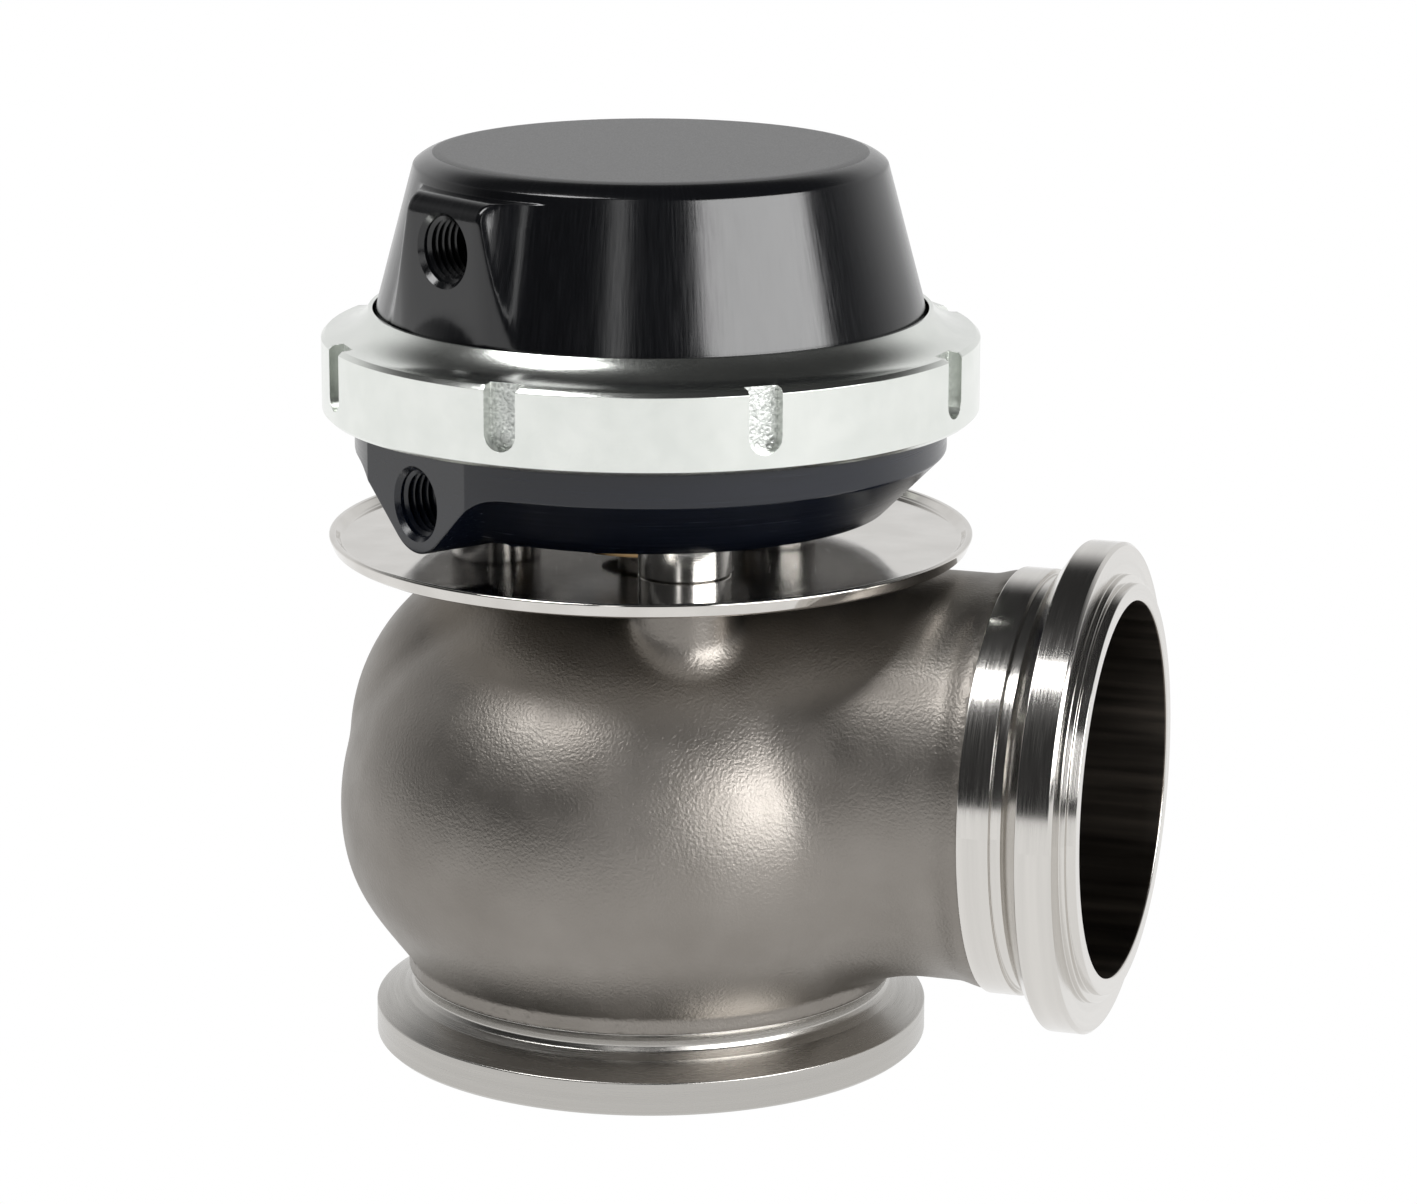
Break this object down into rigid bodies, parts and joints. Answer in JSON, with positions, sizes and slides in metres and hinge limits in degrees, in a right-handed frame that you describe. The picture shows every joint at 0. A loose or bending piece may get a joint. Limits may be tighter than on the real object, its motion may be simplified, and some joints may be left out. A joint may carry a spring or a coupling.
{
  "type": "turbo wastegate",
  "caption": "External exhaust wastegate: cast stainless valve body with clamp flanges at inlet and side outlet, and a sprung diaphragm actuator with hose ports above a heat shield.",
  "frame": {"origin": "centre of the inlet bore, on the plane of the inlet flange's face", "axes": "+Z along the valve axis from the inlet up to the actuator's cap, +X along the outlet, away from the body"},
  "size_m": [0.099, 0.079, 0.1095],
  "materials": {
    "cast_steel": "bead-blasted cast stainless",
    "valve_steel": "ground",
    "seat_steel": "turned",
    "guide_bronze": "turned",
    "polished_steel": "mirror polished",
    "turned_steel": "turned",
    "black_anodised": "black anodised, satin",
    "silver_anodised": "satin anodised",
    "plain_aluminium": "turned",
    "seal_rubber": "matt",
    "diaphragm_rubber": "matt, fabric reinforced",
    "spring_steel": "drawn wire",
    "zinc_steel": "zinc plated"
  },
  "bodies": {
    "valve_body": {"valve_body": "cast_steel", "valve_seat": "seat_steel", "valve_guide": "guide_bronze", "heat_shield": "polished_steel", "standoff_spacers": "turned_steel", "actuator_screws": "zinc_steel", "base_housing": "black_anodised", "stem_bush": "guide_bronze", "stem_seal": "seal_rubber", "seal_retainer": "turned_steel", "diaphragm": "diaphragm_rubber"},
    "valve": {"valve": "valve_steel", "clamp_plate": "plain_aluminium", "spring_cup": "plain_aluminium", "nut_washer": "zinc_steel", "stem_nut": "zinc_steel"},
    "cap": {"cap": "black_anodised", "outer_spring": "spring_steel", "middle_spring": "spring_steel", "inner_spring": "spring_steel"},
    "lock_ring": {"lock_ring": "silver_anodised"}
  },
  "joints": [
    {"name": "valve_lift", "type": "slide", "parent": "valve_body", "child": "valve", "axis": [0, 0, 1], "range_m": [0, 0.0115], "stiffness_N_per_m": 12000, "springref_m": -0.018, "deforming": ["outer_spring", "middle_spring", "inner_spring", "diaphragm"]},
    {"name": "cap_lift", "type": "slide", "parent": "valve_body", "child": "cap", "axis": [0, 0, 1], "range_m": [0, 0.0045]},
    {"name": "lock_ring_turn", "type": "hinge", "parent": "cap", "child": "lock_ring", "pos_m": [0, 0, 0.083], "axis": [0, 0, 1], "range_deg": [0, 1080]}
  ],
  "couplings": [
    {"joint": "lock_ring_turn", "follows": "cap_lift", "rad_per_m": 4188.8}
  ]
}
